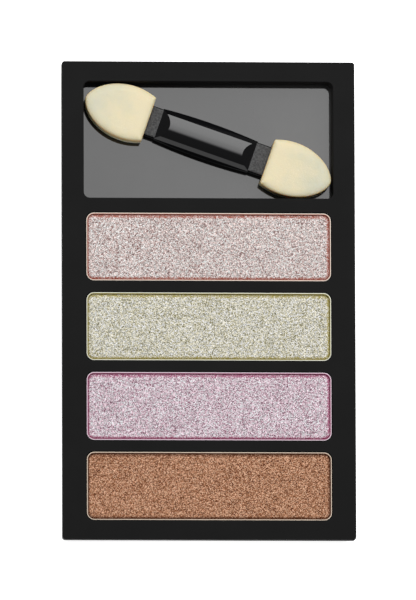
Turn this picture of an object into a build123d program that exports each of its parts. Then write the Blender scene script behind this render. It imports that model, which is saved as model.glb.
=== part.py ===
from build123d import *
import os
from math import cos, radians, sin, tan

# Slim four-shade eyeshadow palette with a loose double-ended sponge applicator. A matte deck closes
# a shallow base tray. Four metal pans of pressed powder drop into the deck, each over a magnet, and
# the applicator lies slantwise in a long well across the far end.
#
# Millimetres. X runs along the pans, +Y towards the applicator well, +Z up. The origin is the centre
# of the case outline, on the face that the case rests on.

# Case
case_width = 58.3
case_length = 95.4
case_height = 8.4
case_corner_radius = 0.6
parting_gap = 0.1

# Deck
face_thickness = 1.4
skirt_depth = 2.4
skirt_wall = 1.2
pocket_wall = 0.9
pocket_floor_thickness = 1.0
deck_edge_break = 0.15

# Layout of the face, from the far edge to the near one
far_margin = 4.0
well_length = 23.3
well_to_pans = 3.0
pan_gap = 2.4
near_margin = 3.9
pan_side_margin = 4.85
well_side_margin = 4.35

# Applicator well
well_depth = 5.2
well_corner_radius = 1.2
well_floor_thickness = 0.8
well_floor_lip_wall = 0.5
well_floor_lip_height = 1.4
well_floor_clearance = 0.1

# Base tray
base_inset = 0.5
base_draft = 1.5
base_floor = 1.2
base_wall = 1.8
base_bottom_radius = 0.8
tongue_clearance = 0.1
rib_thickness = 1.0
rib_spacing = 26.0
snap_length = 5.0
snap_height = 0.5
snap_reach = 0.3
snap_clearance = 0.1
snap_spacing = 32.0

# Pans of pressed powder, from the well to the near edge
shades = ("rose", "champagne", "lilac", "bronze")
pan_height = 3.0
pan_sheet = 0.25
pan_corner_radius = 1.5
pan_heel_radius = 0.4
pan_clearance = 0.1
pan_rim_drop = 0.1
powder_drop = 0.25
powder_bevel_width = 0.45
powder_bevel_depth = 0.35
seat_gap = 0.03

# Magnets under the pans
magnet_diameter = 8.0
magnet_thickness = 1.0
magnet_clearance = 0.05
magnet_boss_wall = 1.0

# Label on the underside
label_width = 42.0
label_length = 66.0
label_corner_radius = 2.0
label_thickness = 0.12
label_recess = 0.25
label_clearance = 0.3

# Applicator, along its own axis
applicator_angle = -19.2
foam_base_offset = 12.5
barrel_length = 19.8
barrel_shift = -0.4
barrel_mid_width = 7.35
barrel_end_width = 6.4
barrel_thickness = 3.8
barrel_ridge_spacing = 4.7
barrel_ridge_thickness = 2.6
barrel_knee_spacing = 6.2
barrel_knee_thickness = 1.5
barrel_edge_thickness = 0.3
shoulder_length = 2.2
neck_width = 6.2
neck_thickness = 1.6
neck_edge_radius = 0.5
paddle_width = 4.6
paddle_thickness = 1.0
paddle_length = 9.0

# Foam tips: outline measured from the end where the neck goes in
foam_length = 13.35
foam_base_width = 9.1
foam_wide_point = 4.4
foam_width = 10.8
foam_flank_point = 8.4
foam_flank_width = 9.2
foam_shoulder_point = 11.3
foam_shoulder_width = 5.6
foam_layer_thickness = 2.5
foam_base_corner_radius = 0.4
foam_edge_radius = 0.3

# Levels, from the resting face upwards
skirt_bottom = case_height - skirt_depth
ledge_level = skirt_bottom - parting_gap
face_underside = case_height - face_thickness
pan_top = case_height - pan_rim_drop
pocket_floor = pan_top - pan_height - seat_gap
pocket_underside = pocket_floor - pocket_floor_thickness
boss_underside = pocket_underside - magnet_thickness
well_floor_level = case_height - well_depth
well_floor_underside = well_floor_level - well_floor_thickness
applicator_level = well_floor_level + seat_gap + foam_layer_thickness

# Openings in the deck
pan_count = len(shades)
pan_width = case_width - 2 * pan_side_margin
pan_field_length = case_length - far_margin - well_length - well_to_pans - near_margin
pan_length = (pan_field_length - (pan_count - 1) * pan_gap) / pan_count
pan_pitch = pan_length + pan_gap
pan_field_centre = -case_length / 2 + near_margin + pan_field_length / 2
pan_centres = [pan_field_centre + (pan_count - 1) * pan_pitch / 2 - i * pan_pitch for i in range(pan_count)]
pocket_width = pan_width + 2 * pan_clearance
pocket_length = pan_length + 2 * pan_clearance
pocket_corner_radius = pan_corner_radius + pan_clearance
well_width = case_width - 2 * well_side_margin
well_centre = case_length / 2 - far_margin - well_length / 2

# Base tray walls, each set in from the case outline
tongue_inset = skirt_wall + tongue_clearance
base_inner_inset = base_inset + base_wall
base_inner_width = case_width - 2 * base_inner_inset
base_inner_length = case_length - 2 * base_inner_inset

# Snap bumps stand on the tongue, in the middle of the overlap with the skirt
snap_level = (skirt_bottom + face_underside) / 2
snap_rows = (-snap_spacing, 0, snap_spacing)


def snap_profile(reach, height):
    """Half-diamond bump that points out along local X, centred on local Y."""
    Polygon((0, -height / 2), (reach, 0), (0, height / 2), align=None)


with BuildPart() as top_deck:
    with BuildSketch(Plane.XY.offset(skirt_bottom)):
        RectangleRounded(case_width, case_length, case_corner_radius)
    extrude(amount=skirt_depth)
    with BuildSketch(Plane.XY.offset(skirt_bottom)):
        Rectangle(case_width - 2 * skirt_wall, case_length - 2 * skirt_wall)
    extrude(amount=face_underside - skirt_bottom, mode=Mode.SUBTRACT)

    # One block holds the four pan pockets
    with BuildSketch(Plane.XY.offset(pocket_underside)):
        with Locations((0, pan_field_centre)):
            RectangleRounded(
                pocket_width + 2 * pocket_wall,
                pan_field_length + 2 * (pan_clearance + pocket_wall),
                pocket_corner_radius + pocket_wall,
            )
    extrude(amount=face_underside - pocket_underside)

    # A plain wall round the well stands on the well floor
    with BuildSketch(Plane.XY.offset(well_floor_level)):
        with Locations((0, well_centre)):
            RectangleRounded(
                well_width + 2 * pocket_wall,
                well_length + 2 * pocket_wall,
                well_corner_radius + pocket_wall,
            )
    extrude(amount=face_underside - well_floor_level)

    # Bosses under the pockets give the magnets their depth
    with BuildSketch(Plane.XY.offset(boss_underside)):
        with Locations(*[(0, y) for y in pan_centres]):
            Circle(magnet_diameter / 2 + magnet_clearance + magnet_boss_wall)
    extrude(amount=magnet_thickness)

    with BuildSketch(Plane.XY.offset(pocket_floor)):
        with Locations(*[(0, y) for y in pan_centres]):
            RectangleRounded(pocket_width, pocket_length, pocket_corner_radius)
    extrude(amount=case_height - pocket_floor, mode=Mode.SUBTRACT)
    with BuildSketch(Plane.XY.offset(well_floor_level)):
        with Locations((0, well_centre)):
            RectangleRounded(well_width, well_length, well_corner_radius)
    extrude(amount=well_depth, mode=Mode.SUBTRACT)
    with BuildSketch(Plane.XY.offset(pocket_floor)):
        with Locations(*[(0, y) for y in pan_centres]):
            Circle(magnet_diameter / 2 + magnet_clearance)
    extrude(amount=-magnet_thickness - magnet_clearance, mode=Mode.SUBTRACT)

    fillet(top_deck.edges().group_by(Axis.Z)[-1], radius=deck_edge_break)

    # Grooves inside the skirt that the snap bumps click into
    for side in (-1, 1):
        for row in snap_rows:
            groove = Plane(
                origin=(side * (case_width / 2 - skirt_wall), row, snap_level),
                x_dir=(side, 0, 0),
                z_dir=(0, -side, 0),
            )
            with BuildSketch(groove):
                snap_profile(snap_reach, snap_height + 2 * snap_clearance)
            extrude(amount=snap_length / 2 + snap_clearance, both=True, mode=Mode.SUBTRACT)
top_deck.part.label = "top_deck"

with BuildPart() as well_floor:
    lip_growth = pocket_wall + well_floor_clearance
    with BuildSketch(Plane.XY.offset(well_floor_underside)):
        with Locations((0, well_centre)):
            RectangleRounded(
                well_width + 2 * (lip_growth + well_floor_lip_wall),
                well_length + 2 * (lip_growth + well_floor_lip_wall),
                well_corner_radius + lip_growth + well_floor_lip_wall,
            )
    extrude(amount=well_floor_thickness + well_floor_lip_height)
    with BuildSketch(Plane.XY.offset(well_floor_level)):
        with Locations((0, well_centre)):
            RectangleRounded(
                well_width + 2 * lip_growth,
                well_length + 2 * lip_growth,
                well_corner_radius + lip_growth,
            )
    extrude(amount=well_floor_lip_height, mode=Mode.SUBTRACT)
well_floor.part.label = "well_floor"

with BuildPart() as base_tray:
    foot_growth = ledge_level * tan(radians(base_draft))
    with BuildSketch():
        RectangleRounded(
            case_width - 2 * (base_inset + foot_growth),
            case_length - 2 * (base_inset + foot_growth),
            case_corner_radius,
        )
    extrude(amount=ledge_level, taper=-base_draft)
    fillet(base_tray.faces().sort_by(Axis.Z)[0].edges(), radius=base_bottom_radius)

    # The tongue rises inside the deck's skirt and carries the face
    with BuildSketch(Plane.XY.offset(ledge_level)):
        Rectangle(case_width - 2 * tongue_inset, case_length - 2 * tongue_inset)
    extrude(amount=face_underside - ledge_level)
    with BuildSketch(Plane.XY.offset(base_floor)):
        Rectangle(base_inner_width, base_inner_length)
    extrude(amount=face_underside - base_floor, mode=Mode.SUBTRACT)

    # Two long ribs carry the pan pockets, and lower ribs carry the well floor
    with BuildSketch(Plane.XY.offset(base_floor)):
        with Locations((-rib_spacing / 2, pan_field_centre), (rib_spacing / 2, pan_field_centre)):
            Rectangle(rib_thickness, pan_field_length)
    extrude(amount=pocket_underside - base_floor)
    with BuildSketch(Plane.XY.offset(base_floor)):
        with Locations((-rib_spacing / 2, well_centre), (0, well_centre), (rib_spacing / 2, well_centre)):
            Rectangle(rib_thickness, well_length)
    extrude(amount=well_floor_underside - base_floor)

    with BuildSketch():
        RectangleRounded(
            label_width + 2 * label_clearance,
            label_length + 2 * label_clearance,
            label_corner_radius + label_clearance,
        )
    extrude(amount=label_recess, mode=Mode.SUBTRACT)

    for side in (-1, 1):
        for row in snap_rows:
            bump = Plane(
                origin=(side * (case_width / 2 - tongue_inset), row, snap_level),
                x_dir=(side, 0, 0),
                z_dir=(0, -side, 0),
            )
            with BuildSketch(bump):
                snap_profile(snap_reach, snap_height)
            extrude(amount=snap_length / 2, both=True)
base_tray.part.label = "base_tray"

with BuildPart() as back_label:
    with BuildSketch(Plane.XY.offset(label_recess)):
        RectangleRounded(label_width, label_length, label_corner_radius)
    extrude(amount=-label_thickness)
back_label.part.label = "back_label"


def make_magnet(shade, centre):
    """Disc magnet glued into the boss under one pan."""
    with BuildPart() as magnet:
        with BuildSketch(Plane.XY.offset(pocket_floor - magnet_thickness - magnet_clearance)):
            with Locations((0, centre)):
                Circle(magnet_diameter / 2)
        extrude(amount=magnet_thickness)
    magnet.part.label = f"magnet_{shade}"
    return magnet.part


def make_pan(shade, centre):
    """Drawn sheet-metal pan with a raw rim and a rounded heel."""
    with BuildPart() as pan:
        with BuildSketch(Plane.XY.offset(pan_top - pan_height)):
            with Locations((0, centre)):
                RectangleRounded(pan_width, pan_length, pan_corner_radius)
        extrude(amount=pan_height)
        fillet(pan.edges().group_by(Axis.Z)[0], radius=pan_heel_radius)
        with BuildSketch(Plane.XY.offset(pan_top - pan_height + pan_sheet)):
            with Locations((0, centre)):
                RectangleRounded(
                    pan_width - 2 * pan_sheet,
                    pan_length - 2 * pan_sheet,
                    pan_corner_radius - pan_sheet,
                )
        extrude(amount=pan_height - pan_sheet, mode=Mode.SUBTRACT)
    pan.part.label = f"pan_{shade}"
    return pan.part


def make_powder(shade, centre):
    """Pressed cake that fills its pan and slopes down to the rim all round."""
    with BuildPart() as powder:
        with BuildSketch(Plane.XY.offset(pan_top - pan_height + pan_sheet)):
            with Locations((0, centre)):
                RectangleRounded(
                    pan_width - 2 * pan_sheet,
                    pan_length - 2 * pan_sheet,
                    pan_corner_radius - pan_sheet,
                )
        extrude(amount=pan_height - pan_sheet - powder_drop)
        top_face = powder.faces().sort_by(Axis.Z)[-1]
        chamfer(
            top_face.edges(),
            length=powder_bevel_width,
            length2=powder_bevel_depth,
            reference=top_face,
        )
    powder.part.label = f"powder_{shade}"
    return powder.part


# Planes of the applicator: flat on its mid-plane, across its axis and along its side
axis_direction = (cos(radians(applicator_angle)), sin(radians(applicator_angle)), 0)
across_direction = (-axis_direction[1], axis_direction[0], 0)
applicator_origin = (0, well_centre, applicator_level)
applicator_flat = Plane(origin=applicator_origin, x_dir=axis_direction, z_dir=(0, 0, 1))
applicator_section = Plane(origin=applicator_origin, x_dir=across_direction, z_dir=axis_direction)
applicator_side = Plane(
    origin=applicator_origin,
    x_dir=axis_direction,
    z_dir=(-across_direction[0], -across_direction[1], 0),
)

with BuildPart() as applicator_handle:
    barrel_left = barrel_shift - barrel_length / 2
    barrel_right = barrel_shift + barrel_length / 2

    # Plan of the barrel, a little wider in the middle
    with BuildSketch(applicator_flat):
        with BuildLine():
            upper = ThreePointArc(
                (barrel_left, barrel_end_width / 2),
                (barrel_shift, barrel_mid_width / 2),
                (barrel_right, barrel_end_width / 2),
            )
            lower = ThreePointArc(
                (barrel_left, -barrel_end_width / 2),
                (barrel_shift, -barrel_mid_width / 2),
                (barrel_right, -barrel_end_width / 2),
            )
            Line(upper @ 0, lower @ 0)
            Line(upper @ 1, lower @ 1)
        make_face()
    extrude(amount=barrel_thickness, both=True)

    # The same section runs its whole length: a dome between two ridges, with two facets outside each
    with BuildSketch(applicator_section):
        with BuildLine():
            for half in (-1, 1):
                dome = ThreePointArc(
                    (-barrel_ridge_spacing / 2, half * barrel_ridge_thickness / 2),
                    (0, half * barrel_thickness / 2),
                    (barrel_ridge_spacing / 2, half * barrel_ridge_thickness / 2),
                )
                for side, ridge in ((-1, dome @ 0), (1, dome @ 1)):
                    Polyline(
                        ridge,
                        (side * barrel_knee_spacing / 2, half * barrel_knee_thickness / 2),
                        (side * barrel_mid_width / 2, half * barrel_edge_thickness / 2),
                    )
            for side in (-1, 1):
                Line(
                    (side * barrel_mid_width / 2, -barrel_edge_thickness / 2),
                    (side * barrel_mid_width / 2, barrel_edge_thickness / 2),
                )
        make_face()
    extrude(amount=barrel_length, both=True, mode=Mode.INTERSECT)

    # Sloping shoulders run down to the necks
    with BuildSketch(applicator_side):
        with BuildLine():
            Polyline(
                (barrel_left, neck_thickness / 2),
                (barrel_left + shoulder_length, barrel_thickness / 2),
                (barrel_right - shoulder_length, barrel_thickness / 2),
                (barrel_right, neck_thickness / 2),
                (barrel_right, -neck_thickness / 2),
                (barrel_right - shoulder_length, -barrel_thickness / 2),
                (barrel_left + shoulder_length, -barrel_thickness / 2),
                (barrel_left, -neck_thickness / 2),
                close=True,
            )
        make_face()
    extrude(amount=barrel_mid_width, both=True, mode=Mode.INTERSECT)

    # Flat necks with rounded long edges run up to the foam, and round-ended paddles inside it
    with BuildSketch(applicator_section):
        RectangleRounded(neck_width, neck_thickness, neck_edge_radius)
    extrude(amount=foam_base_offset, both=True)
    with BuildSketch(applicator_flat):
        SlotOverall(2 * (foam_base_offset + paddle_length), paddle_width)
    extrude(amount=paddle_thickness / 2, both=True)
applicator_handle.part.label = "applicator_handle"


def make_foam_layer(name, end, layer):
    """One of the two bonded foam layers of a tip.

    end is 1 for the tip at the +X end of the applicator and -1 for the other; layer is 1 for the
    upper layer and -1 for the lower one.
    """
    base = end * foam_base_offset
    with BuildPart() as foam:
        with BuildSketch(applicator_flat):
            with BuildLine():
                for half in (-1, 1):
                    Spline(
                        (base, half * foam_base_width / 2),
                        (base + end * foam_wide_point, half * foam_width / 2),
                        (base + end * foam_flank_point, half * foam_flank_width / 2),
                        (base + end * foam_shoulder_point, half * foam_shoulder_width / 2),
                        (base + end * foam_length, 0),
                        tangents=[(end * foam_wide_point, half * (foam_width - foam_base_width)), (0, -half)],
                    )
                Line((base, -foam_base_width / 2), (base, foam_base_width / 2))
            make_face()
        extrude(amount=layer * foam_layer_thickness)
        base_corners = foam.edges().filter_by(Axis.Z).group_by(Axis(applicator_origin, axis_direction))
        fillet(base_corners[0 if end > 0 else -1], radius=foam_base_corner_radius)
        outer_rim = foam.edges().group_by(Axis.Z)[-1 if layer > 0 else 0]
        fillet(outer_rim, radius=foam_edge_radius)
        with BuildSketch(applicator_flat):
            SlotOverall(2 * (foam_base_offset + paddle_length), paddle_width)
        extrude(amount=layer * paddle_thickness / 2, mode=Mode.SUBTRACT)
    foam.part.label = name
    return foam.part


parts = [top_deck.part, well_floor.part, base_tray.part, back_label.part, applicator_handle.part]
for shade, centre in zip(shades, pan_centres):
    parts += [make_magnet(shade, centre), make_pan(shade, centre), make_powder(shade, centre)]
for end_name, end in (("left", -1), ("right", 1)):
    for layer_name, layer in (("upper", 1), ("lower", -1)):
        parts.append(make_foam_layer(f"foam_{end_name}_{layer_name}", end, layer))

os.makedirs("parts", exist_ok=True)
for part in parts:
    export_step(part, f"parts/{part.label}.step")
    print(part.label, round(part.volume, 2), part.bounding_box())
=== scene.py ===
"""Visual model of a slim four-shade eyeshadow palette with a loose sponge applicator.

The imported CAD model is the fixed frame. The case, the pans, the magnets and the applicator's handle
keep their CAD shapes and get their finishes here. The powder cakes and the foam of the applicator's
tips are modelled here, around the places of the plain CAD solids that they replace. Metres.
"""

import logging
import math
from dataclasses import dataclass, field
from enum import Enum
from typing import Callable

import bmesh
import bpy
import numpy as np
from mathutils import Matrix, Vector


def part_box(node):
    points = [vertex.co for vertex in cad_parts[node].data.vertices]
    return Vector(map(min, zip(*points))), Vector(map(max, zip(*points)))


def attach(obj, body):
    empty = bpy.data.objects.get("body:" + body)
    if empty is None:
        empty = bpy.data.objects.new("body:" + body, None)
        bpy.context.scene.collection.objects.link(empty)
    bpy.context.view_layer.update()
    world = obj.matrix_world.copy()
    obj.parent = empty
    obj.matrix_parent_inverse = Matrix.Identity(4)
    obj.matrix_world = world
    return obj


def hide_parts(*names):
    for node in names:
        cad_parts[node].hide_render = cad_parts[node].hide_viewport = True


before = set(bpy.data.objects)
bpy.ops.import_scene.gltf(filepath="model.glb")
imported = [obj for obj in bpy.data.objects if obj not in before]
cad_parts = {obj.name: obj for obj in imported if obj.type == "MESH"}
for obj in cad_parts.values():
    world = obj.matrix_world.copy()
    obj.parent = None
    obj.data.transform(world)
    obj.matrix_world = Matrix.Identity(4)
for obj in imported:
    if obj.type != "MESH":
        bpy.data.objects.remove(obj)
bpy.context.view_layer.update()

MM = 0.001
LOG = logging.getLogger("palette")

Colour = tuple[float, float, float]
Socket = bpy.types.NodeSocket


# -- modelling helpers


def deselect_all() -> None:
    """Deselects every object, the CAD nodes included."""
    bpy.ops.object.select_all(action="DESELECT")


def make_active(piece: bpy.types.Object) -> None:
    """Makes one object the only selected and the active one.

    Args:
        piece: The object that the next operators act on.
    """
    deselect_all()
    piece.select_set(True)
    bpy.context.view_layer.objects.active = piece


def select_where(
    piece: bpy.types.Object,
    faces: Callable[[bmesh.types.BMFace], bool] | None = None,
    edges: Callable[[bmesh.types.BMEdge], bool] | None = None,
) -> None:
    """Selects the faces or the edges of a mesh in edit mode by a test on each.

    Args:
        piece: The object whose mesh is in edit mode.
        faces: Test for faces, or None to choose edges.
        edges: Test for edges, or None to choose faces.
    """
    bpy.ops.mesh.select_mode(type="FACE" if faces else "EDGE")
    bpy.ops.mesh.select_all(action="DESELECT")
    mesh = bmesh.from_edit_mesh(piece.data)
    test = faces or edges
    for element in mesh.faces if faces else mesh.edges:
        element.select_set(test(element))
    mesh.select_flush_mode()
    bmesh.update_edit_mesh(piece.data)


def mesh_vectors(mesh: bpy.types.Mesh, name: str) -> np.ndarray:
    """Reads one vector for each point of a mesh.

    Args:
        mesh: The mesh.
        name: The vector's name, such as co or normal.

    Returns:
        The vectors, one row for each point.
    """
    values = np.empty(len(mesh.vertices) * 3, np.float32)
    mesh.vertices.foreach_get(name, values)
    return values.reshape(-1, 3)


def store_values(mesh: bpy.types.Mesh, name: str, values: np.ndarray) -> None:
    """Stores one number for each point of a mesh, for its material to read.

    Args:
        mesh: The mesh.
        name: The attribute's name.
        values: The numbers.
    """
    attribute = mesh.attributes.new(name, "FLOAT", "POINT")
    attribute.data.foreach_set("value", values.astype(np.float32))


def shaded(colour: Colour, share: float) -> Colour:
    """Makes a colour lighter or darker.

    Args:
        colour: The colour.
        share: How much of it stays.

    Returns:
        The new colour.
    """
    return tuple(channel * share for channel in colour)


def fresh_nodes(tree: bpy.types.NodeTree, *kinds: str) -> list[bpy.types.Node]:
    """Empties a node tree and adds new nodes.

    Args:
        tree: The node tree.
        kinds: The nodes' types, without their common prefix.

    Returns:
        The nodes, in the same order.
    """
    tree.nodes.clear()
    return [tree.nodes.new(f"ShaderNode{kind}") for kind in kinds]


def set_stops(ramp: bpy.types.ColorRamp, stops: list[tuple[float, Colour]]) -> None:
    """Fills a colour ramp.

    Args:
        ramp: The ramp.
        stops: Places and colours.
    """
    while len(ramp.elements) < len(stops):
        ramp.elements.new(0.5)
    for element, (place, colour) in zip(ramp.elements, stops):
        element.position = place
        element.color = (*colour, 1.0)


def apply_modifier(piece: bpy.types.Object, kind: str, **settings: object) -> None:
    """Adds one modifier, sets it and applies it.

    Args:
        piece: The object to change.
        kind: The modifier's type.
        settings: Values for the modifier's properties.
    """
    make_active(piece)
    modifier = piece.modifiers.new(kind.title(), kind)
    for key, value in settings.items():
        setattr(modifier, key, value)
    bpy.ops.object.modifier_apply(modifier=modifier.name)


def settle_in_place(piece: bpy.types.Object, place: Matrix) -> None:
    """Puts an object's place into its mesh, so that the object stays at the origin.

    Args:
        piece: The object to place.
        place: Where its mesh goes.
    """
    make_active(piece)
    piece.matrix_world = place
    bpy.ops.object.transform_apply(location=True, rotation=True, scale=True)


def roughen(
    piece: bpy.types.Object, name: str, size: float, height: float, middle: float, group: str = ""
) -> None:
    """Displaces a mesh by a procedural noise.

    Args:
        piece: The object to change.
        name: The noise texture's name.
        size: The size of its lumps.
        height: The height of the relief.
        middle: The noise's value that leaves the surface in place.
        group: The vertex group that limits it, or nothing for the whole mesh.
    """
    texture = bpy.data.textures.new(name, "CLOUDS")
    texture.noise_scale = size
    apply_modifier(
        piece,
        "DISPLACE",
        texture=texture,
        texture_coords="LOCAL",
        strength=height,
        mid_level=middle,
        vertex_group=group,
    )


# -- shader graph


class ShaderGraph:
    """One procedural material with a Principled shader, built node by node."""

    def __init__(self, name: str) -> None:
        """Starts an empty material.

        Args:
            name: The material's name.
        """
        self.material = bpy.data.materials.new(name)
        self.material.use_nodes = True
        self.tree = self.material.node_tree
        self.tree.nodes.clear()
        self.shader = self.node("ShaderNodeBsdfPrincipled")
        output = self.node("ShaderNodeOutputMaterial")
        self.link(self.shader.outputs["BSDF"], output.inputs["Surface"])

    def node(self, kind: str, **settings: object) -> bpy.types.Node:
        """Adds a node and sets its properties.

        Args:
            kind: The node's type.
            settings: Values for its properties.

        Returns:
            The node.
        """
        node = self.tree.nodes.new(kind)
        for key, value in settings.items():
            setattr(node, key, value)
        return node

    def link(self, source: Socket, target: Socket) -> None:
        """Joins two sockets.

        Args:
            source: The output.
            target: The input.
        """
        self.tree.links.new(source, target)

    def feed(self, socket: Socket, value: object) -> None:
        """Links a socket, or sets its value if the value isn't a socket.

        Args:
            socket: The input.
            value: An output socket, a number or a colour.
        """
        if isinstance(value, bpy.types.NodeSocket):
            self.link(value, socket)
        elif isinstance(value, tuple) and socket.type == "RGBA":
            socket.default_value = (*value, 1.0)
        else:
            socket.default_value = value

    def surface(self, **values: object) -> None:
        """Sets or links inputs of the Principled shader.

        Args:
            values: Inputs by name, with underscores for spaces.
        """
        for key, value in values.items():
            self.feed(self.shader.inputs[key.replace("_", " ")], value)

    def place(
        self, turn: float = 0.0, centre: Vector | None = None, stretch: Vector | None = None
    ) -> Socket:
        """Gives Object coordinates, moved, turned about Z and stretched.

        Args:
            turn: Angle of the pattern about Z.
            centre: Point that becomes the pattern's origin.
            stretch: Scale of the pattern along its own axes.

        Returns:
            The coordinates.
        """
        coordinates = self.node("ShaderNodeTexCoord").outputs["Object"]
        if centre is not None:
            shift = self.node("ShaderNodeVectorMath", operation="SUBTRACT")
            self.link(coordinates, shift.inputs[0])
            shift.inputs[1].default_value = centre
            coordinates = shift.outputs["Vector"]
        if turn or stretch is not None:
            mapping = self.node("ShaderNodeMapping", vector_type="POINT")
            self.link(coordinates, mapping.inputs["Vector"])
            mapping.inputs["Rotation"].default_value = (0.0, 0.0, -turn)
            coordinates = mapping.outputs["Vector"]
            if stretch is not None:
                scale = self.node("ShaderNodeVectorMath", operation="MULTIPLY")
                self.link(coordinates, scale.inputs[0])
                scale.inputs[1].default_value = stretch
                coordinates = scale.outputs["Vector"]
        return coordinates

    def noise(self, where: Socket, size: float, detail: float = 3.0, rough: float = 0.5) -> Socket:
        """Adds a noise of a given lump size.

        Args:
            where: Coordinates.
            size: Size of the largest lumps.
            detail: Number of octaves.
            rough: Strength of each finer octave.

        Returns:
            The noise, from 0 to 1.
        """
        node = self.node("ShaderNodeTexNoise")
        self.link(where, node.inputs["Vector"])
        node.inputs["Scale"].default_value = 1.0 / size
        node.inputs["Detail"].default_value = detail
        node.inputs["Roughness"].default_value = rough
        return node.outputs["Fac"]

    def grains(self, where: Socket, size: float) -> tuple[Socket, Socket]:
        """Adds a pattern of packed grains.

        Args:
            where: Coordinates.
            size: Size of a grain.

        Returns:
            A random number for each grain, and the distance from the grain's middle.
        """
        node = self.node("ShaderNodeTexVoronoi")
        self.link(where, node.inputs["Vector"])
        node.inputs["Scale"].default_value = 1.0 / size
        split = self.node("ShaderNodeSeparateColor")
        self.link(node.outputs["Color"], split.inputs["Color"])
        return split.outputs["Red"], node.outputs["Distance"]

    def ramp(self, factor: Socket, stops: list[tuple[float, Colour]]) -> Socket:
        """Turns a number into a colour.

        Args:
            factor: The number, from 0 to 1.
            stops: Places and colours.

        Returns:
            The colour.
        """
        node = self.node("ShaderNodeValToRGB")
        set_stops(node.color_ramp, stops)
        self.link(factor, node.inputs["Fac"])
        return node.outputs["Color"]

    def span(self, value: Socket, low: float, high: float, out_low: float, out_high: float) -> Socket:
        """Maps a range of a number onto another range, with clamped ends.

        Args:
            value: The number.
            low: Where the range starts.
            high: Where the range ends.
            out_low: Result at the start.
            out_high: Result at the end.

        Returns:
            The mapped number.
        """
        node = self.node("ShaderNodeMapRange", clamp=True)
        self.link(value, node.inputs["Value"])
        node.inputs["From Min"].default_value = low
        node.inputs["From Max"].default_value = high
        node.inputs["To Min"].default_value = out_low
        node.inputs["To Max"].default_value = out_high
        return node.outputs["Result"]

    def maths(self, operation: str, first: object, second: object = 0.0) -> Socket:
        """Combines two numbers.

        Args:
            operation: The Math node's operation.
            first: Socket or number.
            second: Socket or number.

        Returns:
            The result.
        """
        node = self.node("ShaderNodeMath", operation=operation)
        self.feed(node.inputs[0], first)
        self.feed(node.inputs[1], second)
        return node.outputs["Value"]

    def mix(self, factor: object, first: object, second: object, blend: str = "MIX") -> Socket:
        """Mixes two colours.

        Args:
            factor: Share of the second colour.
            first: Socket or colour.
            second: Socket or colour.
            blend: The blend type.

        Returns:
            The mixed colour.
        """
        node = self.node("ShaderNodeMix", data_type="RGBA", blend_type=blend)
        self.feed(node.inputs[0], factor)
        self.feed(node.inputs[6], first)
        self.feed(node.inputs[7], second)
        return node.outputs[2]

    def bump(self, height: Socket, depth: float) -> Socket:
        """Turns a height into a bumped normal.

        Args:
            height: Height from 0 to 1.
            depth: Real height of the relief.

        Returns:
            The normal.
        """
        node = self.node("ShaderNodeBump")
        node.inputs["Strength"].default_value = 1.0
        node.inputs["Distance"].default_value = depth
        self.link(height, node.inputs["Height"])
        return node.outputs["Normal"]

    def axis(self, where: Socket, name: str) -> Socket:
        """Picks one axis out of coordinates.

        Args:
            where: Coordinates.
            name: X, Y or Z.

        Returns:
            The distance along that axis.
        """
        split = self.node("ShaderNodeSeparateXYZ")
        self.link(where, split.inputs["Vector"])
        return split.outputs[name]

    def inset(self, middle: Vector, half: Vector, radius: float) -> Socket:
        """Measures how far in from the upright walls of a round-cornered block a point lies.

        Args:
            middle: The block's middle.
            half: Half its size.
            radius: The radius of its upright corners.

        Returns:
            The distance, from 0 on the walls up to the radius further in.
        """
        reach = (half.x - radius, half.y - radius, 1.0)
        corner = self.place(centre=middle)
        for operation, other in (("ABSOLUTE", None), ("SUBTRACT", reach), ("MAXIMUM", (0.0, 0.0, 0.0))):
            step = self.node("ShaderNodeVectorMath", operation=operation)
            self.link(corner, step.inputs[0])
            if other is not None:
                step.inputs[1].default_value = other
            corner = step.outputs["Vector"]
        length = self.node("ShaderNodeVectorMath", operation="LENGTH")
        self.link(corner, length.inputs[0])
        return self.maths("SUBTRACT", radius, length.outputs["Value"])

    def hide_back(self) -> None:
        """Makes the surface clear from its back, so that a floor doesn't cover what stands on it."""
        blend = self.node("ShaderNodeMixShader")
        output = self.shader.outputs["BSDF"].links[0].to_socket
        self.link(self.node("ShaderNodeNewGeometry").outputs["Backfacing"], blend.inputs["Fac"])
        self.link(self.shader.outputs["BSDF"], blend.inputs[1])
        self.link(self.node("ShaderNodeBsdfTransparent").outputs["BSDF"], blend.inputs[2])
        self.link(blend.outputs["Shader"], output)

    def attribute(self, name: str) -> Socket:
        """Reads a number stored on the mesh's points.

        Args:
            name: The attribute's name.

        Returns:
            The number.
        """
        return self.node("ShaderNodeAttribute", attribute_name=name).outputs["Fac"]


# -- finishes


@dataclass(frozen=True)
class ShadeColours:
    """The tones of one powder, the metal of its pan's rim, and how far its hue drifts."""

    shadow: Colour
    body: Colour
    pearl: Colour
    border: Colour
    rim: Colour
    drift: float

    def leaning(self, way: float) -> Colour:
        """Gives the tint that moves the powder's hue towards or away from its border's.

        Args:
            way: 1 towards the border's hue, or -1 away from it.

        Returns:
            The tint, near white.
        """
        mean = sum(self.border) / 3
        return tuple(1 + way * self.drift * (channel / mean - 1) for channel in self.border)


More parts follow.
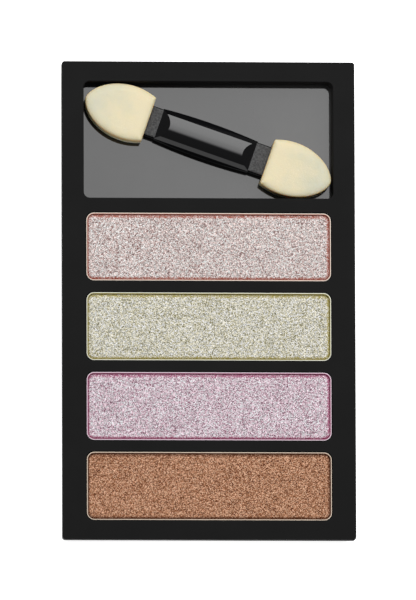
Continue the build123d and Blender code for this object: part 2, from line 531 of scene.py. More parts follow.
@dataclass(frozen=True)
class MattePlastic:
    """Moulded plastic with a fine spark-eroded texture and almost no gloss."""

    name: str
    colour: Colour
    specular: float = 0.1
    roughness: float = 0.6
    grain: float = 0.12 * MM
    cloud: float = 9 * MM
    relief: float = 0.004 * MM

    def build(self) -> bpy.types.Material:
        """Builds the material.

        Returns:
            The material.
        """
        graph = ShaderGraph(self.name)
        where = graph.place()
        fine = graph.noise(where, self.grain, 4.0, 0.6)
        broad = graph.noise(where, self.cloud, 2.0)
        tint = graph.ramp(broad, [(0.3, shaded(self.colour, 0.9)), (0.7, shaded(self.colour, 1.12))])
        graph.surface(
            Base_Color=tint,
            Roughness=graph.span(fine, 0.3, 0.7, self.roughness - 0.05, self.roughness + 0.07),
            Specular_IOR_Level=self.specular,
            Normal=graph.bump(fine, self.relief),
        )
        return graph.material


@dataclass(frozen=True)
class GlossPlastic:
    """Polished moulded plastic with a faint ripple, hairline scuffs and a painted reflection that
    brightens its colour along X.
    """

    name: str
    colour: Colour
    painted_reflection_colour: Colour
    painted_reflection_reach: float
    specular: float = 0.86
    roughness: float = 0.05
    ripple: float = 0.002 * MM
    ripple_size: float = 6 * MM
    scuff: float = 0.12 * MM
    scuff_turn: float = 0.5

    def build(self) -> bpy.types.Material:
        """Builds the material.

        Returns:
            The material.
        """
        graph = ShaderGraph(self.name)
        where = graph.place()
        swell = graph.noise(where, self.ripple_size, 2.0)
        brushed = graph.place(turn=self.scuff_turn, stretch=Vector((0.05, 1.0, 1.0)))
        scuffs = graph.noise(brushed, self.scuff, 2.0, 0.6)
        worn = graph.span(scuffs, 0.66, 0.8, 0.0, 0.05)
        # Painted reflection: the base colour brightens from left to right along X to stand in for a
        # brighter reflection on the right; the swell noise adds a random wobble.
        across = graph.span(graph.axis(where, "X"), -self.painted_reflection_reach, self.painted_reflection_reach, 0.0, 1.0)
        painted_reflection_and_swell = graph.maths("ADD", across, graph.span(swell, 0.3, 0.7, -0.08, 0.08))
        graph.surface(
            Base_Color=graph.mix(painted_reflection_and_swell, self.colour, self.painted_reflection_colour),
            Roughness=graph.maths("ADD", worn, self.roughness),
            Specular_IOR_Level=self.specular,
            Normal=graph.bump(swell, self.ripple),
        )
        return graph.material


@dataclass(frozen=True)
class HandlePlastic:
    """Glossy plastic of the applicator's handle, with spark-eroded flat necks."""

    name: str
    colour: Colour
    centre: Vector
    turn: float
    smooth_from: float
    smooth_to: float
    specular: float = 0.77
    roughness: float = 0.06
    neck_flat: float = 2.9 * MM
    neck_roughness: float = 0.66
    neck_grain: float = 0.36 * MM
    neck_relief: float = 0.12 * MM
    neck_blend: float = 0.05 * MM
    neck_lift: float = 0.05
    ripple_size: float = 4 * MM

    def build(self) -> bpy.types.Material:
        """Builds the material.

        Returns:
            The material.
        """
        graph = ShaderGraph(self.name)
        where = graph.place(turn=self.turn, centre=self.centre)
        along = graph.axis(where, "X")
        edge = self.neck_blend
        left = graph.span(along, self.smooth_from - edge, self.smooth_from + edge, 1.0, 0.0)
        right = graph.span(along, self.smooth_to - edge, self.smooth_to + edge, 0.0, 1.0)
        off_centre = graph.maths("ABSOLUTE", graph.axis(where, "Y"))
        flat = graph.span(off_centre, self.neck_flat - edge, self.neck_flat + edge, 1.0, 0.0)
        neck = graph.maths("MULTIPLY", graph.maths("MAXIMUM", left, right), flat)
        fine = graph.noise(where, self.neck_grain, 3.0, 0.65)
        swell = graph.noise(where, self.ripple_size, 2.0)
        rough = graph.span(neck, 0.0, 1.0, self.roughness, self.neck_roughness)
        pale = tuple(channel + self.neck_lift for channel in self.colour)
        speckle = graph.ramp(fine, [(0.38, self.colour), (0.62, pale)])
        graph.surface(
            Base_Color=graph.mix(neck, self.colour, speckle),
            Roughness=graph.maths("ADD", rough, graph.span(swell, 0.4, 0.7, 0.0, 0.03)),
            Specular_IOR_Level=self.specular,
            Normal=graph.bump(graph.maths("MULTIPLY", fine, neck), self.neck_relief),
        )
        return graph.material


@dataclass(frozen=True)
class Tinplate:
    """Drawn sheet steel with a bright raw rim, and powder dust on its inner wall and edge."""

    name: str
    colour: Colour
    dust: Colour
    middle: Vector
    half: Vector
    corner_radius: float = 1.5 * MM
    bare_rim: float = 0.13 * MM
    dust_fade: float = 0.04 * MM
    dust_patch: float = 0.5 * MM
    rolling: float = 0.09 * MM
    roughness: float = 0.36
    dust_roughness: float = 0.8
    relief: float = 0.003 * MM

    def build(self) -> bpy.types.Material:
        """Builds the material.

        Returns:
            The material.
        """
        graph = ShaderGraph(self.name)
        where = graph.place()
        rolling = graph.noise(graph.place(stretch=Vector((0.04, 1.0, 1.0))), self.rolling, 3.0, 0.6)
        patchy = graph.noise(where, self.dust_patch, 3.0, 0.6)
        inset = graph.inset(self.middle, self.half, self.corner_radius)
        inner = graph.span(inset, self.bare_rim, self.bare_rim + self.dust_fade, 0.0, 1.0)
        dusty = graph.maths("MULTIPLY", inner, graph.span(patchy, 0.25, 0.5, 0.8, 1.0))
        metal = graph.ramp(rolling, [(0.3, shaded(self.colour, 0.88)), (0.7, self.colour)])
        base_roughness = graph.span(dusty, 0.0, 1.0, self.roughness, self.dust_roughness)
        graph.surface(
            Base_Color=graph.mix(dusty, metal, self.dust),
            Metallic=graph.span(dusty, 0.0, 1.0, 1.0, 0.0),
            Roughness=graph.maths("ADD", base_roughness, graph.span(rolling, 0.3, 0.7, -0.05, 0.08)),
            Normal=graph.bump(rolling, self.relief),
        )
        return graph.material


@dataclass(frozen=True)
class NickelPlate:
    """Bright nickel plating of a disc magnet."""

    name: str
    colour: Colour = (0.62, 0.60, 0.57)
    spot: float = 0.8 * MM
    relief: float = 0.004 * MM

    def build(self) -> bpy.types.Material:
        """Builds the material.

        Returns:
            The material.
        """
        graph = ShaderGraph(self.name)
        spots = graph.noise(graph.place(), self.spot, 4.0, 0.6)
        graph.surface(
            Base_Color=graph.ramp(spots, [(0.35, shaded(self.colour, 0.9)), (0.65, self.colour)]),
            Metallic=1.0,
            Roughness=graph.span(spots, 0.3, 0.7, 0.12, 0.24),
            Normal=graph.bump(spots, self.relief),
        )
        return graph.material


@dataclass(frozen=True)
class PressedPowder:
    """Shimmering pressed powder: a bed of pigment with pearl flakes, bare of flakes at its border; the
    dark border band is partly painted shadow of the pan's rim.
    """

    name: str
    shade: ShadeColours
    grain: float = 0.14 * MM
    fine_scale: float = 0.62
    fine_share: float = 0.38
    patch: float = 2.6 * MM
    patch_swing: float = 0.02
    tint: float = 0.42 * MM
    raggedness: float = 0.22
    pit_share: float = 0.35
    relief: float = 0.05 * MM

    def build(self) -> bpy.types.Material:
        """Builds the material.

        Returns:
            The material.
        """
        graph = ShaderGraph(self.name)
        where = graph.place()
        coarse, middle = graph.grains(where, self.grain)
        fine, _ = graph.grains(where, self.grain * self.fine_scale)
        patch = graph.noise(where, self.patch, 3.0)
        coarse_part = graph.maths("MULTIPLY", coarse, 1.0 - self.fine_share)
        tone = graph.maths("ADD", coarse_part, graph.maths("MULTIPLY", fine, self.fine_share))
        tone = graph.maths("ADD", tone, graph.span(patch, 0.3, 0.7, -self.patch_swing, self.patch_swing))
        shade = self.shade
        stops = [(0.23, shade.shadow), (0.43, shade.body), (0.53, shade.body), (0.74, shade.pearl)]
        flakes = graph.ramp(tone, stops)
        tint = graph.noise(where, self.tint, 1.0)
        hue = graph.mix(graph.span(tint, 0.36, 0.64, 0.0, 1.0), shade.leaning(-1.0), shade.leaning(1.0))
        flakes = graph.mix(1.0, flakes, hue, "MULTIPLY")
        ragged = graph.span(tone, 0.2, 0.8, self.raggedness, -self.raggedness)
        edge = graph.maths("ADD", graph.attribute("border"), ragged)
        # The border colour marks the bare pigment edge and, on the far and right sides, painted shadow of
        # the rim.
        worn = graph.span(edge, 0.3, 0.62, 0.0, 0.95)
        height = graph.maths("SUBTRACT", tone, graph.maths("MULTIPLY", middle, self.pit_share))
        graph.surface(
            Base_Color=graph.mix(worn, flakes, shade.border),
            Roughness=graph.span(coarse, 0.75, 0.95, 0.62, 0.36),
            Metallic=graph.span(coarse, 0.8, 0.95, 0.0, 0.35),
            Specular_IOR_Level=0.15,
            Normal=graph.bump(height, self.relief),
        )
        return graph.material


@dataclass(frozen=True)
class SpongeFoam:
    """Fine-celled cosmetic foam, cream on its skin, tan on its cut sides and brown at its seam, with
    painted shade on its rolled edge and towards its nose and painted light on its cut sides.
    """

    name: str
    skin: Colour = (0.80, 0.725, 0.52)
    # Painted shade: the skin turns darker and greyer towards the nose.
    nose: Colour = (0.665, 0.655, 0.52)
    # Painted shade: the rolled top edge is darker where its surface turns down.
    shoulder: Colour = (0.64, 0.57, 0.385)
    # Tan of the cut sides, brightened as painted light for sides that the lamps barely reach.
    cut: Colour = (0.88, 0.63, 0.30)
    bond: Colour = (0.46, 0.28, 0.11)
    cell: float = 0.14 * MM
    cloud: float = 3 * MM
    depth: float = 1.2 * MM
    relief: float = 0.02 * MM

    def build(self) -> bpy.types.Material:
        """Builds the material.

        Returns:
            The material.
        """
        graph = ShaderGraph(self.name)
        where = graph.place()
        cells, middle = graph.grains(where, self.cell)
        cloud = graph.noise(where, self.cloud, 3.0)
        along = graph.maths("ADD", graph.attribute("along"), graph.span(cloud, 0.3, 0.7, -0.2, 0.2))
        # Painted shade: the skin darkens along the tip towards its nose.
        skin = graph.mix(graph.span(along, 0.25, 0.95, 0.0, 1.0), self.skin, self.nose)
        pored = graph.mix(graph.span(cells, 0.8, 1.0, 0.0, 0.12), skin, shaded(self.skin, 0.7))
        # Painted shade on the rolled top edge, picked by the surface's tilt.
        rolled = graph.mix(graph.attribute("roll"), pored, self.shoulder)
        # The cut sides' tan also carries painted light.
        sided = graph.mix(graph.attribute("cut_side"), rolled, self.cut)
        graph.surface(
            Base_Color=graph.mix(graph.attribute("seam"), sided, self.bond),
            Roughness=graph.span(cloud, 0.3, 0.7, 0.84, 0.95),
            Specular_IOR_Level=0.15,
            Subsurface_Weight=0.8,
            Subsurface_Radius=(1.0, 0.85, 0.6),
            Subsurface_Scale=self.depth,
            Normal=graph.bump(middle, self.relief),
        )
        return graph.material


@dataclass(frozen=True)
class LabelPaper:
    """Coated white label paper with a faint fibre."""

    name: str
    colour: Colour = (0.82, 0.82, 0.80)
    fibre: float = 0.25 * MM
    relief: float = 0.004 * MM

    def build(self) -> bpy.types.Material:
        """Builds the material.

        Returns:
            The material.
        """
        graph = ShaderGraph(self.name)
        fibre = graph.noise(graph.place(stretch=Vector((0.4, 1.0, 1.0))), self.fibre, 4.0, 0.6)
        graph.surface(
            Base_Color=graph.ramp(fibre, [(0.3, shaded(self.colour, 0.95)), (0.7, self.colour)]),
            Roughness=graph.span(fibre, 0.3, 0.7, 0.5, 0.62),
            Specular_IOR_Level=0.4,
            Normal=graph.bump(fibre, self.relief),
        )
        return graph.material


def dress(node: str, material: bpy.types.Material) -> None:
    """Gives a CAD node its finish.

    Args:
        node: The CAD node's name.
        material: The finish.
    """
    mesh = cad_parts[node].data
    mesh.materials.clear()
    mesh.materials.append(material)
    LOG.info("dressed %s in %s", node, material.name)


# -- case


@dataclass
class Case:
    """The deck, the base tray, the well floor and the label on the underside."""

    deck: MattePlastic = MattePlastic("deck_matte_black", (0.006, 0.006, 0.006))
    base: MattePlastic = MattePlastic("base_matte_black", (0.01, 0.01, 0.01), specular=0.3, roughness=0.5)
    # The well floor's colour brightens along X as a painted reflection.
    well: GlossPlastic = GlossPlastic(
        "well_gloss_black", (0.003, 0.003, 0.003), painted_reflection_colour=(0.036, 0.036, 0.036), painted_reflection_reach=25 * MM
    )
    label: LabelPaper = LabelPaper("label_coated_paper")

    def build(self) -> None:
        """Dresses the case's CAD nodes."""
        dress("top_deck", self.deck.build())
        dress("base_tray", self.base.build())
        dress("well_floor", self.well.build())
        dress("back_label", self.label.build())


# -- refills


class Shade(Enum):
    """The four powders, from the well to the near edge."""

    ROSE = "rose"
    CHAMPAGNE = "champagne"
    LILAC = "lilac"
    BRONZE = "bronze"


SHADES = {
    Shade.ROSE: ShadeColours(
        shadow=(0.12, 0.024, 0.018),
        body=(0.60, 0.505, 0.48),
        pearl=(0.94, 0.89, 0.87),
        border=(0.38, 0.105, 0.070),
        rim=(0.52, 0.45, 0.39),
        drift=0.062,
    ),
    Shade.CHAMPAGNE: ShadeColours(
        shadow=(0.12, 0.105, 0.020),
        body=(0.62, 0.595, 0.475),
        pearl=(0.91, 0.89, 0.84),
        border=(0.36, 0.30, 0.065),
        rim=(0.50, 0.50, 0.43),
        drift=0.115,
    ),
    Shade.LILAC: ShadeColours(
        shadow=(0.13, 0.020, 0.060),
        body=(0.63, 0.495, 0.55),
        pearl=(0.94, 0.87, 0.92),
        border=(0.36, 0.075, 0.17),
        rim=(0.52, 0.43, 0.48),
        drift=0.09,
    ),
    Shade.BRONZE: ShadeColours(
        shadow=(0.050, 0.004, 0.000),
        body=(0.36, 0.150, 0.066),
        pearl=(0.80, 0.48, 0.32),
        border=(0.13, 0.038, 0.012),
        rim=(0.50, 0.42, 0.34),
        drift=0.035,
    ),
}


@dataclass
class Refill:
    """One metal pan with its pressed powder and the magnet under it."""

    shade: Shade
    corner_radius: float = 1.25 * MM
    corner_segments: int = 8
    wall_gap: float = 0.012 * MM
    border_width: float = 0.35 * MM
    border_depth: float = 0.14 * MM
    # Widths of the powder's dark border band: the bare pigment border, widened on the far and right sides
    # by painted shadow of the rim.
    near_border_and_shadow: float = 0.46 * MM
    far_border_and_shadow: float = 0.80 * MM
    left_border_and_shadow: float = 0.28 * MM
    right_border_and_shadow: float = 0.60 * MM
    voxel: float = 0.22 * MM
    grain_height: float = 0.012 * MM
    grain_size: float = 0.35 * MM
    crumble_height: float = 0.16 * MM
    crumble_size: float = 0.7 * MM
    crumble_share: float = 0.6
    border_side_blend: float = 0.6 * MM
    border_and_shadow_reach: float = 1.35
    border_and_shadow_fade: float = 0.7

    def build(self) -> None:
        """Dresses the pan and the magnet, and models the powder cake."""
        name = self.shade.value
        colours = SHADES[self.shade]
        low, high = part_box(f"pan_{name}")
        middle, half = (low + high) / 2, (high - low) / 2
        tinplate = Tinplate(f"pan_tinplate_{name}", colours.rim, colours.border, middle, half)
        dress(f"pan_{name}", tinplate.build())
        dress(f"magnet_{name}", NickelPlate(f"magnet_nickel_{name}").build())
        cake = self.model_cake(f"powder_cake_{name}", f"powder_{name}")
        cake.data.materials.append(PressedPowder(f"pressed_powder_{name}", colours).build())
        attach(cake, f"{name}_refill")
        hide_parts(f"powder_{name}")
        LOG.info("powder cake %s: %d faces", name, len(cake.data.polygons))

    def model_cake(self, name: str, node: str) -> bpy.types.Object:
        """Models the pressed cake inside the box of its CAD solid.

        Args:
            name: The new piece's name.
            node: The CAD node that it replaces.

        Returns:
            The cake, in place.
        """
        low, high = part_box(node)
        gap = Vector((self.wall_gap, self.wall_gap, 0.0))
        low, high = low + gap, high - gap
        shoulder = high.z - self.border_depth
        middle = (low + high) / 2
        deselect_all()
        bpy.ops.mesh.primitive_cube_add(size=1.0, location=(middle.x, middle.y, (low.z + shoulder) / 2))
        cake = bpy.context.object
        cake.name = cake.data.name = name
        cake.scale = (high.x - low.x, high.y - low.y, shoulder - low.z)
        bpy.ops.object.transform_apply(location=True, rotation=True, scale=True)

        bpy.ops.object.mode_set(mode="EDIT")
        select_where(cake, edges=lambda e: abs((e.verts[0].co - e.verts[1].co).normalized().z) > 0.9)
        bpy.ops.mesh.bevel(offset=self.corner_radius, segments=self.corner_segments, affect="EDGES")
        select_where(cake, faces=lambda f: f.normal.z > 0.9)
        bpy.ops.mesh.inset(thickness=self.border_width, depth=self.border_depth, use_even_offset=True)
        bpy.ops.object.mode_set(mode="OBJECT")

        apply_modifier(cake, "REMESH", mode="VOXEL", voxel_size=self.voxel, use_smooth_shade=True)
        self.mark_border(cake, low, high)
        roughen(cake, f"{name}_crumble", self.crumble_size, self.crumble_height, 0.6, group="border")
        roughen(cake, f"{name}_grain", self.grain_size, self.grain_height, 0.5)
        return cake

    def mark_border(self, cake: bpy.types.Object, low: Vector, high: Vector) -> None:
        """Stores how near each point is to the rim, as an attribute and as a vertex group. The band is
        wider on the far and right sides, where it also holds painted shadow of the rim.

        Args:
            cake: The cake.
            low: The lowest corner of its box.
            high: The highest corner of its box.
        """
        points = mesh_vectors(cake.data, "co")
        half = np.array((high - low)[:2]) / 2
        centre = np.array((high + low)[:2]) / 2
        offset = points[:, :2] - centre
        inner = np.abs(offset) - (half - self.corner_radius)
        outside = np.linalg.norm(np.maximum(inner, 0), axis=1) + np.minimum(inner.max(axis=1), 0)
        distance = self.corner_radius - outside
        pull = np.exp((np.abs(offset) - half) / self.border_side_blend)
        # Painted shadow: the band widens towards the far (+Y) and right (+X) sides of the cake.
        across = np.where(offset[:, 0] > 0, self.right_border_and_shadow, self.left_border_and_shadow)
        along = np.where(offset[:, 1] > 0, self.far_border_and_shadow, self.near_border_and_shadow)
        border_and_shadow_width = (across * pull[:, 0] + along * pull[:, 1]) / (pull[:, 0] + pull[:, 1] + 1e-9)
        near = np.clip((border_and_shadow_width * self.border_and_shadow_reach - distance) / (border_and_shadow_width * self.border_and_shadow_fade), 0, 1)
        near = near * near * (3 - 2 * near)
        store_values(cake.data, "border", near)
        group = cake.vertex_groups.new(name="border")
        top = points[:, 2] > low.z + 0.5 * (high.z - low.z)
        for index in np.nonzero((near > 0.02) & top)[0]:
            group.add([int(index)], float(near[index]) * self.crumble_share, "REPLACE")


# -- applicator


class Layer(Enum):
    """The two bonded layers of a foam tip."""

    UPPER = 0.0
    LOWER = math.pi


class End(Enum):
    """The two ends of the applicator, by how far a tip is turned from the right-hand one."""

    RIGHT = 0.0
    LEFT = math.pi


@dataclass
class Applicator:
    """The double-ended sponge applicator: moulded handle and four foam layers."""

    tip_length: float = 13.3 * MM
    base_width: float = 9.1 * MM
    full_width: float = 10.76 * MM
    wide_point: float = 4.4 * MM
    nose_power: float = 0.62
    outline_points: int = 72
    side_roll: float = 0.22 * MM
    seam_roll: float = 0.12 * MM
    crown: float = 0.30 * MM
    crown_reach: float = 1.9 * MM
    crown_power: float = 2.4
    seam_height: float = 0.32 * MM
    roll_zone: tuple[float, float] = (0.998, 0.918)
    side_zone: tuple[float, float] = (0.90, 0.35)
    voxel: float = 0.14 * MM
    cell_height: float = 0.03 * MM
    cell_size: float = 0.3 * MM
    smooth_from: float = -10.3 * MM
    smooth_to: float = 9.5 * MM
    handle_colour: Colour = (0.004, 0.004, 0.0045)
    foam: SpongeFoam = SpongeFoam("sponge_foam_cream")
    # The lower layers' cut sides and seam get lighter colours: painted light for the shade that the upper
    # layer casts on them.
    painted_light_lower_foam: SpongeFoam = SpongeFoam(
        "sponge_foam_cream_lower", cut=(1.0, 0.86, 0.55), bond=(0.66, 0.44, 0.18)
    )

    def build(self) -> None:
        """Dresses the handle and models the foam."""
        centre, angle = self.find_axis()
        handle = HandlePlastic(
            "handle_gloss_black", self.handle_colour, centre, angle, self.smooth_from, self.smooth_to
        )
        dress("applicator_handle", handle.build())
        foams = {Layer.UPPER: self.foam.build(), Layer.LOWER: self.painted_light_lower_foam.build()}
        for end in End:
            for layer in Layer:
                node = f"foam_{end.name.lower()}_{layer.name.lower()}"
                self.build_layer(node, end, layer, centre, angle, foams[layer])

    def find_axis(self) -> tuple[Vector, float]:
        """Finds how the applicator lies from its CAD nodes.

        Returns:
            The middle of the applicator on its mid-plane, and its angle about Z.
        """
        left_low, left_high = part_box("foam_left_upper")
        right_low, right_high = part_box("foam_right_upper")
        centre = (left_low + left_high + right_low + right_high) / 4
        centre.z = left_low.z
        points = np.array([v.co[:2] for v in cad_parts["applicator_handle"].data.vertices])
        values, vectors = np.linalg.eigh(np.cov(points.T))
        along = vectors[:, np.argmax(values)]
        if along[0] < 0:
            along = -along
        return centre, math.atan2(along[1], along[0])

    def half_width(self, x: float) -> float:
        """Gives half the width of a tip at a distance from its base.

        Args:
            x: Distance from the base.

        Returns:
            Half the width there.
        """
        full, base = self.full_width / 2, self.base_width / 2
        if x <= self.wide_point:
            return full - (full - base) * ((self.wide_point - x) / self.wide_point) ** 2
        reach = (x - self.wide_point) / (self.tip_length - self.wide_point)
        return full * max(0.0, 1.0 - reach * reach) ** self.nose_power

    def outline(self) -> list[tuple[float, float]]:
        """Lists the points of a tip's plan, closer together towards the nose.

        Returns:
            Points once round, counter-clockwise.
        """
        half = self.outline_points // 2
        flank = []
        for i in range(half):
            turn = math.pi / 2 * i / half
            x = self.tip_length * math.sin(turn)
            flank.append((x, self.half_width(x)))
        return [(x, -y) for x, y in flank] + [(self.tip_length, 0.0)] + flank[::-1]

    def build_layer(
        self, node: str, end: End, layer: Layer, centre: Vector, angle: float, foam: bpy.types.Material
    ) -> None:
        """Models one foam layer and puts it in the place of its CAD solid.

        Args:
            node: The CAD node that it replaces.
            end: Which end of the applicator.
            layer: Which of the two layers.
            centre: The applicator's middle.
            angle: The applicator's angle.
            foam: The foam's material.
        """
        low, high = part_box(node)
        piece = self.model_layer(f"sponge_{end.name.lower()}_{layer.name.lower()}", high.z - low.z)
        place = (
            Matrix.Translation(centre)
            @ Matrix.Rotation(angle + end.value, 4, "Z")
            @ Matrix.Translation((self.base_offset(centre, angle), 0.0, 0.0))
            @ Matrix.Rotation(layer.value, 4, "X")
        )
        settle_in_place(piece, place)
        piece.data.materials.append(foam)
        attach(piece, "applicator")
        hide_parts(node)
        LOG.info("foam layer %s: %d faces", piece.name, len(piece.data.polygons))

    def base_offset(self, centre: Vector, angle: float) -> float:
        """Finds how far a tip's flat base lies from the applicator's middle.

        Args:
            centre: The applicator's middle.
            angle: The applicator's angle.

        Returns:
            The distance along the axis.
        """
        points = np.array([v.co[:2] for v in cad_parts["foam_right_upper"].data.vertices])
        along = (points - np.array(centre[:2])) @ np.array([math.cos(angle), math.sin(angle)])
        return float(along.min())

    def model_layer(self, name: str, thickness: float) -> bpy.types.Object:
        """Models an upper layer lying along +X with its bonding face at Z = 0.

        Args:
            name: The piece's name.
            thickness: The layer's full thickness.

        Returns:
            The layer, at the origin.
        """
        outline = self.outline()
        deselect_all()
        bpy.ops.mesh.primitive_circle_add(vertices=len(outline), radius=1.0, fill_type="NGON")
        piece = bpy.context.object
        piece.name = piece.data.name = name
        for vertex, (x, y) in zip(piece.data.vertices, outline):
            vertex.co = (x, y, 0.0)
        bpy.ops.object.mode_set(mode="EDIT")
        bpy.ops.mesh.select_all(action="SELECT")
        bpy.ops.mesh.extrude_region_move(TRANSFORM_OT_translate={"value": (0.0, 0.0, thickness)})
        bpy.ops.mesh.select_all(action="SELECT")
        bpy.ops.mesh.normals_make_consistent(inside=False)
        select_where(piece, edges=lambda e: min(v.co.z for v in e.verts) > 0.98 * thickness)
        bpy.ops.mesh.bevel(offset=self.side_roll, segments=3, affect="EDGES")
        select_where(piece, edges=lambda e: max(v.co.z for v in e.verts) < 1e-6)
        bpy.ops.mesh.bevel(offset=self.seam_roll, segments=2, affect="EDGES")
        bpy.ops.object.mode_set(mode="OBJECT")
        apply_modifier(piece, "REMESH", mode="VOXEL", voxel_size=self.voxel, use_smooth_shade=True)
        self.crown_top(piece, outline, thickness)
        apply_modifier(piece, "SMOOTH", factor=0.5, iterations=2)
        self.mark_zones(piece)
        roughen(piece, f"{name}_cells", self.cell_size, self.cell_height, 0.6)
        return piece

    def crown_top(
        self, piece: bpy.types.Object, outline: list[tuple[float, float]], thickness: float
    ) -> None:
        """Lowers the top of a layer towards its outline, so that it is softly crowned.

        Args:
            piece: The layer.
            outline: The points of its plan.
            thickness: Its full thickness.
        """
        mesh = piece.data
        points = mesh_vectors(mesh, "co")
        start = np.array(outline)
        step = np.roll(start, -1, axis=0) - start
        away = points[:, None, :2] - start[None]
        share = np.clip((away * step).sum(axis=2) / (step * step).sum(axis=1), 0, 1)
        distance = np.linalg.norm(away - share[:, :, None] * step, axis=2).min(axis=1)
        fall = np.clip(1 - distance / self.crown_reach, 0, 1) ** self.crown_power
        lift = np.clip(points[:, 2] / thickness, 0, 1) ** 2
        points[:, 2] -= self.crown * fall * lift
        mesh.vertices.foreach_set("co", points.ravel())
        mesh.update()

    def mark_zones(self, piece: bpy.types.Object) -> None:
        """Stores where the die-cut side, the seam and the nose are.

        Args:
            piece: The layer, lying along +X with its bonding face at Z = 0.
        """
        mesh = piece.data
        points = mesh_vectors(mesh, "co")
        upward = mesh_vectors(mesh, "normal")[:, 2]
        zones = (self.roll_zone, self.side_zone)
        roll, steep = (np.clip((start - upward) / (start - end), 0, 1) for start, end in zones)
        seam = np.clip((self.seam_height - points[:, 2]) / (0.5 * self.seam_height), 0, 1)
        along = np.clip(points[:, 0] / self.tip_length, 0, 1)
        for name, values in (("roll", roll), ("cut_side", steep), ("seam", seam), ("along", along)):
            store_values(mesh, name, values)


# -- studio


@dataclass(frozen=True)
class Panel:
    """A rectangular soft light: its middle, its width and height, and its brightness from the palette."""

    name: str
    place: tuple[float, float, float]
    size: tuple[float, float]
    radiance: float


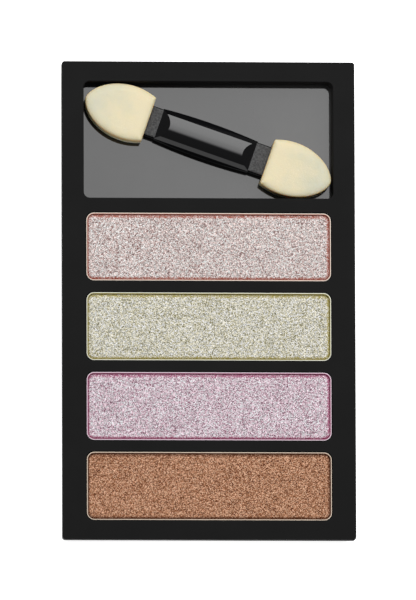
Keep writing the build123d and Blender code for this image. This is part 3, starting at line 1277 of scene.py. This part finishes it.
@dataclass
class Studio:
    """Pale floor, large soft lights and the camera over the palette."""

    view_direction: Vector = field(default_factory=lambda: Vector((-0.066, -0.11, 1.0)).normalized())
    roll: float = math.radians(-0.18)
    field_height: float = 119.05 * MM
    aim: Vector = field(default_factory=lambda: Vector((-0.18 * MM, 0.03 * MM, 8.4 * MM)))
    lens: float = 800.0
    sensor: float = 36.0
    floor_size: float = 6.0
    floor_drop: float = 0.02 * MM
    floor_colour: Colour = (0.93, 0.93, 0.93)
    floor_glow: float = 0.82
    ambient: float = 0.08
    key: Panel = Panel("key_softbox", (0.09, 0.307, 0.577), (0.86, 1.10), 3.1)
    fills: tuple[Panel, ...] = (
        Panel("near_fill", (-0.06, -0.62, 0.30), (1.1, 0.26), 0.66),
        Panel("side_fill", (-0.46, -0.30, 0.29), (0.34, 0.20), 3.0),
    )
    key_fade: tuple[tuple[float, float], ...] = (
        (0.0, 0.005), (0.067, 0.015), (0.12, 0.227), (0.156, 0.394), (0.203, 0.606),
        (0.253, 0.705), (0.283, 0.758), (0.384, 0.833), (0.49, 0.962), (0.627, 1.0),
    )

    def build(self) -> None:
        """Builds the floor, the lights, the world and the camera."""
        self.add_floor()
        self.fade_panel(self.add_panel(self.key))
        for fill in self.fills:
            self.add_panel(fill)
        self.add_world()
        self.add_camera()
        bpy.context.scene.view_settings.view_transform = "Standard"

    def add_floor(self) -> None:
        """Lays a plain pale floor under the case."""
        deselect_all()
        bpy.ops.mesh.primitive_plane_add(size=self.floor_size, location=(0.0, 0.0, -self.floor_drop))
        floor = bpy.context.object
        floor.name = "studio_floor"
        graph = ShaderGraph("floor_pale_paper")
        tooth = graph.noise(graph.place(), 2 * MM, 3.0)
        graph.surface(
            Base_Color=self.floor_colour,
            Roughness=graph.span(tooth, 0.3, 0.7, 0.85, 0.95),
            Specular_IOR_Level=0.1,
            Emission_Color=(1.0, 1.0, 1.0),
            Emission_Strength=self.floor_glow,
        )
        graph.hide_back()
        floor.data.materials.append(graph.material)

    def add_panel(self, panel: Panel) -> bpy.types.AreaLight:
        """Hangs a soft light that faces the palette.

        Args:
            panel: The light's place, size and brightness.

        Returns:
            The light.
        """
        light = bpy.data.lights.new(panel.name, "AREA")
        light.shape = "RECTANGLE"
        light.size, light.size_y = panel.size
        light.energy = panel.radiance * math.pi * panel.size[0] * panel.size[1]
        lamp = bpy.data.objects.new(panel.name, light)
        lamp.location = panel.place
        lamp.rotation_mode = "QUATERNION"
        lamp.rotation_quaternion = (-Vector(panel.place)).to_track_quat("-Z", "Y")
        lamp.visible_camera = False
        bpy.context.scene.collection.objects.link(lamp)
        return light

    def fade_panel(self, light: bpy.types.AreaLight) -> None:
        """Dims a panel towards its upper edge, over the palette.

        Args:
            light: The panel's light.
        """
        light.use_nodes = True
        tree = light.node_tree
        output, emission, ramp, flip, split, geometry = fresh_nodes(
            tree, "OutputLight", "Emission", "ValToRGB", "Math", "SeparateXYZ", "NewGeometry"
        )
        flip.operation = "SUBTRACT"
        flip.inputs[0].default_value = 1.0
        set_stops(ramp.color_ramp, [(place, (level, level, level)) for place, level in self.key_fade])
        tree.links.new(geometry.outputs["Parametric"], split.inputs["Vector"])
        tree.links.new(split.outputs["Y"], flip.inputs[1])
        tree.links.new(flip.outputs["Value"], ramp.inputs["Fac"])
        tree.links.new(ramp.outputs["Color"], emission.inputs["Color"])
        tree.links.new(emission.outputs["Emission"], output.inputs["Surface"])

    def add_world(self) -> None:
        """Gives a white backdrop to the camera and a faint ambient light to the palette."""
        world = bpy.data.worlds.new("studio_world")
        world.use_nodes = True
        tree = world.node_tree
        output, blend, path, lit, seen = fresh_nodes(
            tree, "OutputWorld", "MixShader", "LightPath", "Background", "Background"
        )
        lit.inputs["Strength"].default_value = self.ambient
        for background in (lit, seen):
            background.inputs["Color"].default_value = (1.0, 1.0, 1.0, 1.0)
        tree.links.new(path.outputs["Is Camera Ray"], blend.inputs["Fac"])
        tree.links.new(lit.outputs["Background"], blend.inputs[1])
        tree.links.new(seen.outputs["Background"], blend.inputs[2])
        tree.links.new(blend.outputs["Shader"], output.inputs["Surface"])
        bpy.context.scene.world = world

    def add_camera(self) -> None:
        """Hangs the camera a long way above the palette, tilted a little."""
        data = bpy.data.cameras.new("camera")
        data.lens = self.lens
        data.sensor_width = self.sensor
        camera = bpy.data.objects.new("camera", data)
        distance = self.field_height * self.lens / self.sensor
        right = Vector((0.0, 1.0, 0.0)).cross(self.view_direction).normalized()
        up = self.view_direction.cross(right)
        axes = Matrix((right, up, self.view_direction)).transposed().to_4x4()
        turned = axes @ Matrix.Rotation(self.roll, 4, "Z")
        camera.matrix_world = Matrix.Translation(self.aim + self.view_direction * distance) @ turned
        data.clip_start = 0.1
        data.clip_end = 20.0
        bpy.context.scene.collection.objects.link(camera)
        bpy.context.scene.camera = camera


def main() -> None:
    """Builds every sub-assembly in order."""
    logging.basicConfig(level=logging.INFO, format="%(name)s: %(message)s")
    Case().build()
    for shade in Shade:
        Refill(shade).build()
    Applicator().build()
    Studio().build()


if __name__ == "__main__":
    main()
